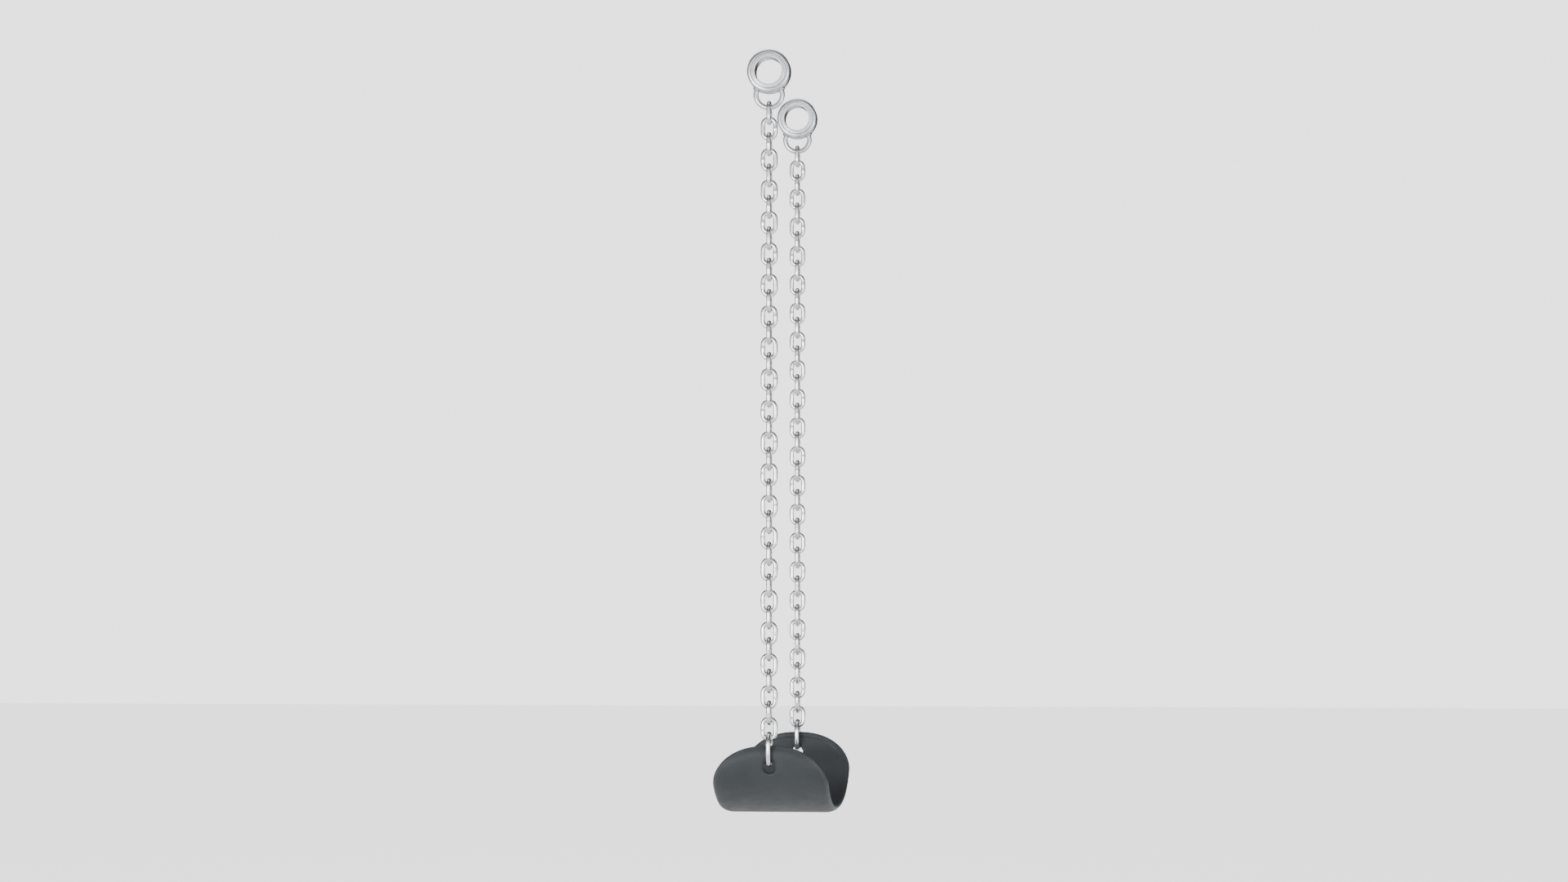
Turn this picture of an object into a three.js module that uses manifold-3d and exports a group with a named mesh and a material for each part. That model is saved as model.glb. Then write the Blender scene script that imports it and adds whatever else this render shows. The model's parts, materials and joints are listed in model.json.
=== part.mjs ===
// A belt swing seat with its two chains and its two hangers, as a three.js model.
// Units are millimetres. The origin is on the axis of the beam that the swing hangs from,
// midway between the two hangers. +X runs along the beam, +Z is up, and the seat swings in Y.
import * as THREE from 'three';
import { mergeVertices } from 'three/addons/utils/BufferGeometryUtils.js';
import Module from 'manifold-3d';

const wasm = await Module();
wasm.setup();

// ---------------------------------------------------------------- driving dimensions

const gap = 0.3; // between pieces that touch, everywhere
const hangerSpacing = 485; // hanger to hanger, and chain to chain
const roundSides = 24; // facets of the turned pieces
const rivetSides = 10; // facets of the rivets and of what is cut for them

// Hanger: a collar that turns on two flanged bushes round a beam 42.4 mm across.
const bushBore = 21.5;
const bushWall = 3;
const flangeRadius = 27.8;
const flangeThickness = 3.5;
const flangeProud = 0.8;
const collarRadius = 34.5;
const collarHalfWidth = 14;
const collarBore = 24.9;
const collarRecess = 28.2;

// Bail: a round bar bent into a loop and welded under the collar.
const bailBar = 4;
const bailRadius = 21;
const bailDrop = 36.5; // centre of the loop below the beam's axis
const bailArc = 225; // degrees of loop below the collar

// Chain: ordinary welded links, and one long wide link at the seat.
const linkBar = 3.5;
const linkPitch = 25; // inner length of a link
const linkCrown = 10; // radius of the bar's centre line at each end of a link
const linkCount = 40;
const endBar = 4;
const endPitch = 39;
const endCrown = 16;
const barCorner = 1.05; // corner radius of the six-sided bar, per radius of the round bar
const padSize = 2; // bearing patch that joins two links of a pair
const padHeight = 1.2;

// Seat: a moulded rubber belt hanging in a U, with domed ends.
const seatHeight = 112; // end of the belt to the middle of its sag
const seatPower = 2.4; // how square the U is: 2 is an ellipse
const seatHalfWidth = 92;
const domeHeight = 78;
const domePower = 2.3;
const domeStations = 8;
const domeLastAngle = 82; // degrees, where the domed end is cut off square
const beltHalfThickness = 6.5;
const holeRadius = 9.6;
const holeBelowTop = 34.5;
const holeOffset = 2.6; // the belt's middle lies this far inside the chain's line at the hole
const dimpleRadius = 18;
const dimpleInner = 1.6; // half the length of the straight bore between the two dimples
const dimpleOuter = 13;

// Inside the rubber: a steel plate round each hole and a webbing band between them.
const plateLayer = [-2.4, 0.1]; // outer and inner face, from the belt's middle
const plateSpan = [12, 82]; // from the end of the belt, along it
const plateHalfWidth = 27;
const plateHole = 12;
const bandLayer = [0.4, 2.0];
const bandStart = 52;
const bandHalfWidth = 24;
const rivetPlace = 68;
const rivetSpread = 14;
const rivetShank = 2.4;
const rivetHead = 5.5;
const rivetHeadHeight = 1.2;

// ---------------------------------------------------------------- derived levels

const chainTop = -(bailDrop + bailRadius - bailBar); // where the first link hangs
const chainBottom = chainTop - linkCount * linkPitch;
const rodLevel = chainBottom - endPitch - endBar; // the end link's bar in the hole
const holeLevel = rodLevel + endBar + gap - holeRadius;
const seatTop = holeLevel + holeBelowTop;
const holeFraction = (1 - (holeBelowTop / seatHeight) ** seatPower) ** (1 / seatPower);
const seatHalfSpan = (hangerSpacing / 2 - holeOffset) / holeFraction;

// ---------------------------------------------------------------- finishes

const finishes = {
  zinc: { color: 0xc4c8cb, roughness: 0.32, metalness: 1 },
  brightSteel: { color: 0xd9dcde, roughness: 0.25, metalness: 1 },
  rubber: { color: 0x3f4549, roughness: 0.72, metalness: 0 },
  webbing: { color: 0x8d8a80, roughness: 0.95, metalness: 0 },
};

// ---------------------------------------------------------------- helpers

function welded(geometry) {
  const bare = geometry.index ? geometry.toNonIndexed() : geometry.clone();
  bare.deleteAttribute('normal');
  bare.deleteAttribute('uv');
  return mergeVertices(bare, 1e-3);
}

function solidOf(geometry) {
  const shape = welded(geometry);
  return new wasm.Manifold(new wasm.Mesh({
    numProp: 3,
    vertProperties: new Float32Array(shape.attributes.position.array),
    triVerts: new Uint32Array(shape.index.array),
  }));
}

function geometryOf(solid) {
  const mesh = solid.getMesh();
  const geometry = new THREE.BufferGeometry();
  geometry.setAttribute('position', new THREE.BufferAttribute(mesh.vertProperties, 3));
  geometry.setIndex(new THREE.BufferAttribute(mesh.triVerts, 1));
  geometry.computeVertexNormals();
  return geometry;
}

const group = new THREE.Group();

function addPiece(name, geometry, finish, position = [0, 0, 0]) {
  const mesh = new THREE.Mesh(geometry, new THREE.MeshStandardMaterial(finishes[finish]));
  mesh.name = name;
  mesh.position.set(...position);
  group.add(mesh);
}

// A skin over rings of points. Every ring has as many points, listed the same way round.
function skinOver(rings, closed) {
  const size = rings[0].length;
  const faces = [];
  const last = closed ? rings.length : rings.length - 1;
  for (let ring = 0; ring < last; ring += 1) {
    const next = (ring + 1) % rings.length;
    for (let side = 0; side < size; side += 1) {
      const other = (side + 1) % size;
      const corners = [ring * size + side, next * size + other, next * size + side];
      faces.push(...corners, corners[0], ring * size + other, corners[1]);
    }
  }
  if (!closed) {
    const far = (rings.length - 1) * size;
    for (let side = 1; side < size - 1; side += 1) {
      faces.push(0, side + 1, side);
      faces.push(far, far + side, far + side + 1);
    }
  }
  const geometry = new THREE.BufferGeometry();
  const points = rings.flat().map((point) => point.toArray()).flat();
  geometry.setAttribute('position', new THREE.Float32BufferAttribute(points, 3));
  geometry.setIndex(faces);
  geometry.computeVertexNormals();
  return geometry;
}

// A six-sided bar along corners in the XZ plane, mitred at each corner.
function barAlong(corners, barRadius, closed) {
  const rings = corners.map((corner, index) => {
    const count = corners.length;
    const before = corners[(index + count - 1) % count];
    const after = corners[(index + 1) % count];
    const arriving = corner.clone().sub(before).normalize();
    const leaving = after.clone().sub(corner).normalize();
    if (!closed && index === 0) arriving.copy(leaving);
    if (!closed && index === count - 1) leaving.copy(arriving);
    const heading = arriving.clone().add(leaving).normalize();
    const stretch = 1 / heading.dot(leaving);
    const outward = new THREE.Vector3(heading.y, 0, -heading.x).multiplyScalar(stretch);
    const centre = new THREE.Vector3(corner.x, 0, corner.y);
    return Array.from({ length: 6 }, (_, side) => {
      const angle = (side + 0.5) * Math.PI / 3;
      const reach = barRadius * barCorner;
      const point = centre.clone().addScaledVector(outward, reach * Math.cos(angle));
      return point.setY(reach * Math.sin(angle));
    });
  });
  return skinOver(rings, closed);
}

// Corners of a bend whose chords touch a circle, from one angle to another in degrees.
function bendCorners(radius, from, to, chords, lift = 0) {
  const step = (to - from) / chords;
  const reach = radius / Math.cos(THREE.MathUtils.degToRad(step / 2));
  return Array.from({ length: chords }, (_, index) => {
    const angle = THREE.MathUtils.degToRad(from + step * (index + 0.5));
    return new THREE.Vector2(reach * Math.cos(angle), reach * Math.sin(angle) + lift);
  });
}

function linkGeometry(innerLength, barRadius, crownRadius) {
  const lift = innerLength / 2 + barRadius - crownRadius;
  const upper = bendCorners(crownRadius, 0, 180, 4, lift);
  const lower = bendCorners(crownRadius, 180, 360, 4, -lift);
  return barAlong([...upper, ...lower], barRadius, true);
}

// A turned piece about the X axis, from [along, radius] points listed with the bore first.
function turned(profile, sides = roundSides) {
  const points = profile.map(([along, radius]) => new THREE.Vector2(radius, along));
  const closedOnAxis = profile[0][1] === 0;
  const loop = closedOnAxis ? points : [...points, points[0]];
  return new THREE.LatheGeometry(loop, sides).rotateZ(-Math.PI / 2);
}

// ---------------------------------------------------------------- hangers

function collarGeometry() {
  const half = collarHalfWidth;
  const seat = half + flangeProud - flangeThickness - gap;
  const outline = [
    [-seat, collarBore], [-seat, collarRecess], [-half, collarRecess], [-half, 30.5],
    [-12.6, 33.4], [-9.5, collarRadius], [9.5, collarRadius], [12.6, 33.4],
    [half, 30.5], [half, collarRecess], [seat, collarRecess], [seat, collarBore],
  ];
  return welded(turned(outline));
}

function bushGeometry() {
  const face = collarHalfWidth + flangeProud;
  const back = face - flangeThickness;
  const sleeve = bushBore + bushWall;
  const outline = [
    [gap / 2, bushBore], [gap / 2, sleeve], [back, sleeve], [back, flangeRadius],
    [face, flangeRadius], [face, bushBore],
  ];
  return welded(turned(outline));
}

function bailGeometry() {
  const spare = (bailArc - 180) / 2;
  const bend = bendCorners(bailRadius, 180 - spare, 360 + spare, 9);
  const loop = barAlong(bend, bailBar, false).rotateZ(Math.PI / 2);
  const clear = collarRadius + gap;
  const collarSpace = turned([[-30, 0], [-30, clear], [30, clear], [30, 0]]);
  const bar = solidOf(loop.translate(0, 0, -bailDrop));
  return geometryOf(bar.subtract(solidOf(collarSpace)));
}

// ---------------------------------------------------------------- chains

// Odd links lie in the plane of the beam, and even links stand across it.
function linkAt(number) {
  const link = linkGeometry(linkPitch, linkBar, linkCrown);
  if (number % 2 === 0) link.rotateZ(Math.PI / 2);
  return link.translate(0, 0, chainTop - linkPitch * (number - 0.5));
}

function linkPair(upper) {
  const pad = new THREE.BoxGeometry(padSize, padSize, padHeight);
  pad.translate(0, 0, chainTop - linkPitch * upper);
  const pair = solidOf(linkAt(upper)).add(solidOf(linkAt(upper + 1)));
  return geometryOf(pair.add(solidOf(pad)));
}

function addChain(side, x) {
  const twoDigits = (number) => String(number).padStart(2, '0');
  addPiece(`${side}_link_01`, linkAt(1), 'zinc', [x, 0, 0]);
  for (let upper = 2; upper < linkCount; upper += 2) {
    const name = `${side}_links_${twoDigits(upper)}_${twoDigits(upper + 1)}`;
    addPiece(name, linkPair(upper), 'zinc', [x, 0, 0]);
  }
  addPiece(`${side}_link_${linkCount}`, linkAt(linkCount), 'zinc', [x, 0, 0]);
  const endLink = linkGeometry(endPitch, endBar, endCrown);
  addPiece(`${side}_end_link`, endLink, 'zinc', [x, 0, chainBottom - endPitch / 2]);
}

// ---------------------------------------------------------------- seat

// The belt's middle line: a U that is square-shouldered where the power is above 2.
class SeatLine extends THREE.Curve {
  getPoint(t) {
    const angle = (t - 0.5) * Math.PI;
    const across = Math.abs(Math.sin(angle)) ** (2 / seatPower) * Math.sign(angle);
    const down = Math.abs(Math.cos(angle)) ** (2 / seatPower);
    return new THREE.Vector3(seatHalfSpan * across, 0, seatTop - seatHeight * down);
  }
}

const seatLine = new SeatLine();
seatLine.arcLengthDivisions = 1200;
const seatLength = seatLine.getLength();

// A point of the belt: how far along it, how far across it, and how far in from its middle.
function beltPoint(along, across, inward) {
  const share = THREE.MathUtils.clamp(along / seatLength, 0, 1);
  const point = seatLine.getPointAt(share);
  const heading = seatLine.getTangentAt(THREE.MathUtils.clamp(share, 0.002, 0.998));
  return new THREE.Vector3(
    point.x - heading.z * inward,
    across,
    point.z + heading.x * inward,
  );
}

// Stations along the belt: close together at the shoulders, where it bends most.
const shoulders = [79, 89, 99, 111, 125, 142, 161, 183, 209, 241, 279];
const bodyStations = [
  ...shoulders,
  seatLength / 2,
  ...shoulders.map((along) => seatLength - along).reverse(),
];

function stationsBetween(from, to) {
  const wing = [20, 28, 36, 44, 52, 60, 70];
  const otherWing = wing.map((along) => seatLength - along).reverse();
  const all = [...wing, ...bodyStations, ...otherWing];
  return [from, ...all.filter((along) => along > from + 1 && along < to - 1), to];
}

// How far the belt's outer face is from its middle, at a distance from the belt's edge.
function outerFace(fromEdge) {
  const margin = Math.min(fromEdge / 19, 1);
  return 1 + (beltHalfThickness - 1) * Math.sqrt(1 - (1 - margin) ** 2);
}

function innerFace(fromEdge) {
  return 3 + (beltHalfThickness - 3) * Math.min(fromEdge / 4, 1);
}

// A slice of the belt, as a ring of ten points round its section.
function beltSlice(along, halfWidth) {
  const fromTip = Math.min(along, seatLength - along);
  const slicePoint = ([margin, face, side]) => {
    const inset = Math.min(margin, halfWidth * margin / 30);
    const fromEdge = 1 / Math.hypot(1 / Math.max(inset, 0.01), 1 / Math.max(fromTip, 0.01));
    const inward = face === 'outer' ? -outerFace(fromEdge) : innerFace(fromEdge);
    return beltPoint(along, side * (halfWidth - inset), inward);
  };
  return [
    [0, 'inner', -1], [0, 'outer', -1], [5, 'outer', -1], [19, 'outer', -1],
    [19, 'outer', 1], [5, 'outer', 1], [0, 'outer', 1], [0, 'inner', 1],
    [3.5, 'inner', 1], [3.5, 'inner', -1],
  ].map(slicePoint);
}

function domeSlices() {
  return Array.from({ length: domeStations }, (_, index) => {
    const angle = THREE.MathUtils.degToRad(domeLastAngle * (1 - index / domeStations));
    const rise = Math.sin(angle) ** (2 / domePower);
    const width = Math.cos(angle) ** (2 / domePower);
    return { fromTip: domeHeight * (1 - rise), halfWidth: seatHalfWidth * width };
  });
}

function beltBlank() {
  const dome = domeSlices();
  const start = dome.map((slice) => beltSlice(slice.fromTip, slice.halfWidth));
  const middle = bodyStations.map((along) => beltSlice(along, seatHalfWidth));
  const end = dome.map((slice) => beltSlice(seatLength - slice.fromTip, slice.halfWidth));
  return skinOver([...start, ...middle, ...end.reverse()], false);
}

// A flat strip bent to the belt's line, between two layers of the belt.
function strip(from, to, halfWidth, [outer, inner]) {
  const rings = stationsBetween(from, to).map((along) => [
    beltPoint(along, -halfWidth, outer),
    beltPoint(along, halfWidth, outer),
    beltPoint(along, halfWidth, inner),
    beltPoint(along, -halfWidth, inner),
  ]);
  return skinOver(rings, false);
}

function grown([outer, inner]) {
  return [outer - gap, inner + gap];
}

// A turned shape stood on the belt, along its inward direction at one place.
function onBelt(geometry, along, across) {
  const centre = beltPoint(along, across, 0);
  const inward = beltPoint(along, across, 1).sub(centre);
  const turn = new THREE.Quaternion();
  turn.setFromUnitVectors(new THREE.Vector3(1, 0, 0), inward.normalize());
  return geometry.applyQuaternion(turn).translate(centre.x, centre.y, centre.z);
}

function rivetGeometry() {
  const low = plateLayer[0] - gap;
  const high = bandLayer[1] + gap;
  return turned([
    [low - rivetHeadHeight, 0], [low - rivetHeadHeight, rivetHead - 1.2], [low, rivetHead],
    [low, rivetShank], [high, rivetShank], [high, rivetHead],
    [high + rivetHeadHeight, rivetHead - 1.2], [high + rivetHeadHeight, 0],
  ], rivetSides);
}

function drillGeometry(radius, reach, sides) {
  return turned([[-reach, 0], [-reach, radius], [reach, radius], [reach, 0]], sides);
}

function rivetRoom() {
  const low = plateLayer[0] - rivetHeadHeight - 2 * gap;
  const high = bandLayer[1] + rivetHeadHeight + 2 * gap;
  const radius = rivetHead + 2 * gap;
  return turned([[low, 0], [low, radius], [high, radius], [high, 0]], rivetSides);
}

const sides = [
  { name: 'left', x: -hangerSpacing / 2, sign: -1, along: (d) => d },
  { name: 'right', x: hangerSpacing / 2, sign: 1, along: (d) => seatLength - d },
];
const rivetSpots = [['back', rivetSpread], ['front', -rivetSpread]];

function spanOf(side, span) {
  return span.map(side.along).sort((a, b) => a - b);
}

// The hole through one wing of the belt, with a dimple on each face.
function holeGeometry(side) {
  const spool = turned([
    [-dimpleOuter, 0], [-dimpleOuter, dimpleRadius], [-dimpleInner, holeRadius],
    [dimpleInner, holeRadius], [dimpleOuter, dimpleRadius], [dimpleOuter, 0],
  ]);
  return spool.translate(side.x - side.sign * holeOffset, 0, holeLevel);
}

function beltGeometry() {
  let belt = solidOf(beltBlank());
  const bandEnds = [bandStart - gap, seatLength - bandStart + gap];
  belt = belt.subtract(solidOf(strip(...bandEnds, bandHalfWidth + gap, grown(bandLayer))));
  sides.forEach((side) => {
    const [from, to] = spanOf(side, plateSpan);
    const room = strip(from - gap, to + gap, plateHalfWidth + gap, grown(plateLayer));
    belt = belt.subtract(solidOf(room)).subtract(solidOf(holeGeometry(side)));
    rivetSpots.forEach(([, across]) => {
      belt = belt.subtract(solidOf(onBelt(rivetRoom(), side.along(rivetPlace), across)));
    });
  });
  return geometryOf(belt);
}

function drillRivets(solid, side) {
  return rivetSpots.reduce((drilled, [, across]) => {
    const drill = drillGeometry(rivetShank + gap, 8, rivetSides);
    return drilled.subtract(solidOf(onBelt(drill, side.along(rivetPlace), across)));
  }, solid);
}

function plateGeometry(side) {
  const blank = solidOf(strip(...spanOf(side, plateSpan), plateHalfWidth, plateLayer));
  const centre = [side.x - side.sign * holeOffset, 0, holeLevel];
  const bore = drillGeometry(plateHole, 20, roundSides).translate(...centre);
  return geometryOf(drillRivets(blank.subtract(solidOf(bore)), side));
}

function bandGeometry() {
  const ends = [bandStart, seatLength - bandStart];
  const blank = solidOf(strip(...ends, bandHalfWidth, bandLayer));
  return geometryOf(sides.reduce((band, side) => drillRivets(band, side), blank));
}

// ---------------------------------------------------------------- the whole object

sides.forEach((side) => {
  const inner = bushGeometry();
  const outer = bushGeometry().rotateZ(Math.PI);
  const [inside, outside] = side.sign > 0 ? [outer, inner] : [inner, outer];
  addPiece(`${side.name}_bush_inside`, inside, 'brightSteel', [side.x, 0, 0]);
  addPiece(`${side.name}_bush_outside`, outside, 'brightSteel', [side.x, 0, 0]);
  addPiece(`${side.name}_collar`, collarGeometry(), 'zinc', [side.x, 0, 0]);
  addPiece(`${side.name}_bail`, bailGeometry(), 'zinc', [side.x, 0, 0]);
  addChain(side.name, side.x);
  addPiece(`${side.name}_plate`, plateGeometry(side), 'brightSteel');
  rivetSpots.forEach(([place, across]) => {
    const rivet = onBelt(rivetGeometry(), side.along(rivetPlace), across);
    addPiece(`${side.name}_rivet_${place}`, welded(rivet), 'brightSteel');
  });
});
addPiece('belt', beltGeometry(), 'rubber');
addPiece('webbing_band', bandGeometry(), 'webbing');

export default group;
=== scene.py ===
# %% [markdown]
# # A belt swing seat
# The swing is a moulded rubber belt that hangs in a U from two welded-link chains. Each chain
# hangs from a round hanger that turns on the beam. Everything here is in metres, with the
# origin on the beam's axis, midway between the hangers: +X runs along the beam, +Z is up.

# %% Load the frame
import json
import math
from bisect import bisect_left

import bmesh
import bpy
from mathutils import Matrix, Vector


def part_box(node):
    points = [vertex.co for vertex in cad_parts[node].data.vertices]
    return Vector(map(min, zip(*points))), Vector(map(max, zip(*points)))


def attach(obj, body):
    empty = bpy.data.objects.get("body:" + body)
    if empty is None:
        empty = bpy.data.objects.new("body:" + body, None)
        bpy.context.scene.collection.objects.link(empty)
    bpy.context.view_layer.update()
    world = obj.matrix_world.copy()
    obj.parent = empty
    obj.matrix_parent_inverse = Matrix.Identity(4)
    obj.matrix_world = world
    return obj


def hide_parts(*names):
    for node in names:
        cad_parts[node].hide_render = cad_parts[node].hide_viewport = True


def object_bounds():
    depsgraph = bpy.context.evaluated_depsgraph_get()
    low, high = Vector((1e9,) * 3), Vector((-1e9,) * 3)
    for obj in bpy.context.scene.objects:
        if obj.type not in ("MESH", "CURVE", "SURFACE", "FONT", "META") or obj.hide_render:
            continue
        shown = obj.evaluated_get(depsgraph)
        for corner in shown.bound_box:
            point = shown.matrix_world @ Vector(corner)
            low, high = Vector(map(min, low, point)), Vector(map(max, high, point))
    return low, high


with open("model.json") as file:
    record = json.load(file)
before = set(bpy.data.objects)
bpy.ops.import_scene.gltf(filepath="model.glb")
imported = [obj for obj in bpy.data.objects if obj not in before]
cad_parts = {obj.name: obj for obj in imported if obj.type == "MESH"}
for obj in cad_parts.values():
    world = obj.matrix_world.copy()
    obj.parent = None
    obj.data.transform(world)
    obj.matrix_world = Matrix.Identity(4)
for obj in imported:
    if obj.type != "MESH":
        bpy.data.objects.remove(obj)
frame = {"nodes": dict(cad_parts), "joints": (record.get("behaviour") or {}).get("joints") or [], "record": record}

cad_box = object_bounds()
joints = {joint["name"]: joint for joint in frame["joints"]}
body_of_node = {
    node: body
    for body, nodes in frame["record"]["behaviour"]["bodies"].items()
    for node in nodes
}

# %% [markdown]
# ## Where things are
# The joints already say where the pieces meet: the sway joint sits in the middle of the bail's
# bar, the fold joint in the lower end of the first link, and the pitch joint in the bar that
# holds the seat. The driving sizes below are the real ones, and the places come from the joints.

# %% Driving sizes and levels
MM = 0.001
BAIL_BAR = 4 * MM
BAIL_RADIUS = 21 * MM
BAIL_ARC = 225
LINK_BAR = 3.5 * MM
LINK_PITCH = 25 * MM
LINK_CROWN = 10 * MM
END_BAR = 4 * MM
END_PITCH = 39 * MM
END_CROWN = 16 * MM

hanger_x = {"left": joints["left_swing"]["pos_m"][0], "right": joints["right_swing"]["pos_m"][0]}
bail_bottom = joints["left_sway"]["pos_m"][2]
chain_top = bail_bottom + BAIL_BAR
chain_bottom = joints["left_level"]["pos_m"][2] + LINK_BAR
rod_level = joints["seat_pitch"]["pos_m"][2]
link_count = round((chain_top - chain_bottom) / LINK_PITCH)
print("links in a chain", link_count, "chain from", round(chain_top, 4), "to", round(chain_bottom, 4))


# %% [markdown]
# ## The camera
# The swing is seen almost along its beam, from just in front of the near chain and at a little
# over the height of the seat. A long lens keeps the two chains close to each other.

# %% Camera
CAMERA_PLACE = Vector((-5.03, -0.49, -0.83))
CAMERA_LENS = 70
middle = (cad_box[0] + cad_box[1]) / 2

camera_data = bpy.data.cameras.new("camera")
camera = bpy.data.objects.new("camera", camera_data)
bpy.context.scene.collection.objects.link(camera)
camera_data.lens = CAMERA_LENS
camera.location = CAMERA_PLACE
camera.rotation_euler = (middle - CAMERA_PLACE).to_track_quat("-Z", "Y").to_euler()
bpy.context.scene.camera = camera
print("camera looks at", tuple(round(value, 3) for value in middle))


# %% [markdown]
# ## Small helpers
# Every piece is made in a bmesh and then given an object of its own at the origin. It takes the
# place of one CAD node, which is hidden, and it rides on the body of that node.

# %% Helpers for pieces
def new_piece(name, mesh_tool, material, node, smooth_angle):
    """One finished piece from a bmesh, standing for one CAD node."""
    bmesh.ops.remove_doubles(mesh_tool, verts=mesh_tool.verts, dist=1e-6)
    bmesh.ops.recalc_face_normals(mesh_tool, faces=mesh_tool.faces)
    mesh = bpy.data.meshes.new(name)
    mesh_tool.to_mesh(mesh)
    mesh_tool.free()
    mesh.materials.append(material)
    piece = bpy.data.objects.new(name, mesh)
    bpy.context.scene.collection.objects.link(piece)
    mesh.shade_smooth()
    if smooth_angle < 180:
        mesh.set_sharp_from_angle(angle=math.radians(smooth_angle))
    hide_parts(node)
    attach(piece, body_of_node[node])
    return piece


def spin_loop(mesh_tool, edges, centre, axis, degrees, steps):
    """Sweeps a loop of edges round an axis and returns the loop it ends on."""
    geometry = list({vert for edge in edges for vert in edge.verts}) + list(edges)
    swept = bmesh.ops.spin(
        mesh_tool, geom=geometry, cent=centre, axis=axis, dvec=(0, 0, 0),
        angle=math.radians(degrees), steps=steps, use_merge=False,
    )
    return [item for item in swept["geom_last"] if isinstance(item, bmesh.types.BMEdge)]


def push_loop(mesh_tool, edges, offset, swell=1.0):
    """Draws a loop of edges out by an offset, and swells it about its middle."""
    drawn = bmesh.ops.extrude_edge_only(mesh_tool, edges=edges)["geom"]
    verts = [item for item in drawn if isinstance(item, bmesh.types.BMVert)]
    bmesh.ops.translate(mesh_tool, verts=verts, vec=offset)
    if swell != 1.0:
        middle_point = sum((vert.co for vert in verts), Vector()) / len(verts)
        for vert in verts:
            vert.co = middle_point + (vert.co - middle_point) * swell
    return [item for item in drawn if isinstance(item, bmesh.types.BMEdge)]


def turned(points, steps):
    """A closed profile of (along X, radius) corners, turned a full circle about X."""
    mesh_tool = bmesh.new()
    verts = [mesh_tool.verts.new((along, 0, -radius)) for along, radius in points]
    edges = [mesh_tool.edges.new((verts[i - 1], verts[i])) for i in range(len(verts))]
    bmesh.ops.spin(
        mesh_tool, geom=verts + edges, cent=(0, 0, 0), axis=(1, 0, 0), dvec=(0, 0, 0),
        angle=math.tau, steps=steps, use_merge=True,
    )
    return mesh_tool


# %% [markdown]
# ## Shared effects
# An effect that several finishes use is a node group, built once. Each group reads Object
# coordinates, so a pattern keeps its real size in metres on every piece.

# %% Node group helpers
def new_group(name, inputs, outputs):
    """A shader node group with named sockets: (name, type, default) and (name, type)."""
    group = bpy.data.node_groups.new(name, "ShaderNodeTree")
    for label, kind, value in inputs:
        socket = group.interface.new_socket(label, in_out="INPUT", socket_type=kind)
        socket.default_value = value
    for label, kind in outputs:
        group.interface.new_socket(label, in_out="OUTPUT", socket_type=kind)
    return group, group.nodes.new("NodeGroupInput"), group.nodes.new("NodeGroupOutput")


def noise_at(tree, coordinates, scale, detail, rough):
    """A noise texture on given coordinates."""
    noise = tree.nodes.new("ShaderNodeTexNoise")
    noise.inputs["Detail"].default_value = detail
    noise.inputs["Roughness"].default_value = rough
    tree.links.new(coordinates, noise.inputs["Vector"])
    if isinstance(scale, (int, float)):
        noise.inputs["Scale"].default_value = scale
    else:
        tree.links.new(scale, noise.inputs["Scale"])
    return noise.outputs["Fac"]


def ranged(tree, value, low, high, to_low, to_high):
    """Stretches a value from one range to another, and clamps it."""
    spread = tree.nodes.new("ShaderNodeMapRange")
    ends = (("From Min", low), ("From Max", high), ("To Min", to_low), ("To Max", to_high))
    for label, number in ends:
        spread.inputs[label].default_value = number
    tree.links.new(value, spread.inputs["Value"])
    return spread.outputs["Result"]


def blended(tree, factor, first, second):
    """Mixes two colours by a factor."""
    mix = tree.nodes.new("ShaderNodeMix")
    mix.data_type = "RGBA"
    for socket, value in ((mix.inputs[0], factor), (mix.inputs[6], first), (mix.inputs[7], second)):
        if isinstance(value, bpy.types.NodeSocket):
            tree.links.new(value, socket)
        else:
            socket.default_value = value
    return mix.outputs[2]


def maths(tree, operation, first, second=None):
    """One arithmetic step on values."""
    node = tree.nodes.new("ShaderNodeMath")
    node.operation = operation
    for socket, value in zip(node.inputs, (first, second)):
        if isinstance(value, bpy.types.NodeSocket):
            tree.links.new(value, socket)
        elif value is not None:
            socket.default_value = value
    return node.outputs[0]


# %% [markdown]
# Zinc plating is bright, but never even: it has soft cloudy patches, a fine grain and thin
# scratches where links rub. One group gives all three as masks, and each metal uses its own
# share of them.

# %% The metal surface group
def build_metal_surface():
    """Masks for soft clouds, fine grain and thin scratches."""
    group, inlet, outlet = new_group(
        "plated_surface",
        [("Coordinates", "NodeSocketVector", (0, 0, 0)), ("Cloud Scale", "NodeSocketFloat", 60.0)],
        [("Clouds", "NodeSocketFloat"), ("Grain", "NodeSocketFloat"), ("Scratches", "NodeSocketFloat")],
    )
    place = inlet.outputs["Coordinates"]
    clouds = noise_at(group, place, inlet.outputs["Cloud Scale"], 5.0, 0.6)
    grain = noise_at(group, place, 2600.0, 3.0, 0.6)
    squeeze = group.nodes.new("ShaderNodeMapping")
    squeeze.inputs["Scale"].default_value = (160.0, 160.0, 2400.0)
    squeeze.inputs["Rotation"].default_value = (0.3, 0.5, 0.0)
    group.links.new(place, squeeze.inputs["Vector"])
    lines = noise_at(group, squeeze.outputs["Vector"], 1.0, 2.0, 0.5)
    group.links.new(clouds, outlet.inputs["Clouds"])
    group.links.new(grain, outlet.inputs["Grain"])
    group.links.new(ranged(group, lines, 0.62, 0.72, 0.0, 1.0), outlet.inputs["Scratches"])
    return group


plated_surface = build_metal_surface()

# %% [markdown]
# The chain is the brightest plating and the hangers are a little duller. Weld beads are rough
# and dark, because the heat burns the zinc away, and the plates in the rubber are plain steel.
# One function makes all four, so they differ only in their tones, roughness and grain.

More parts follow.
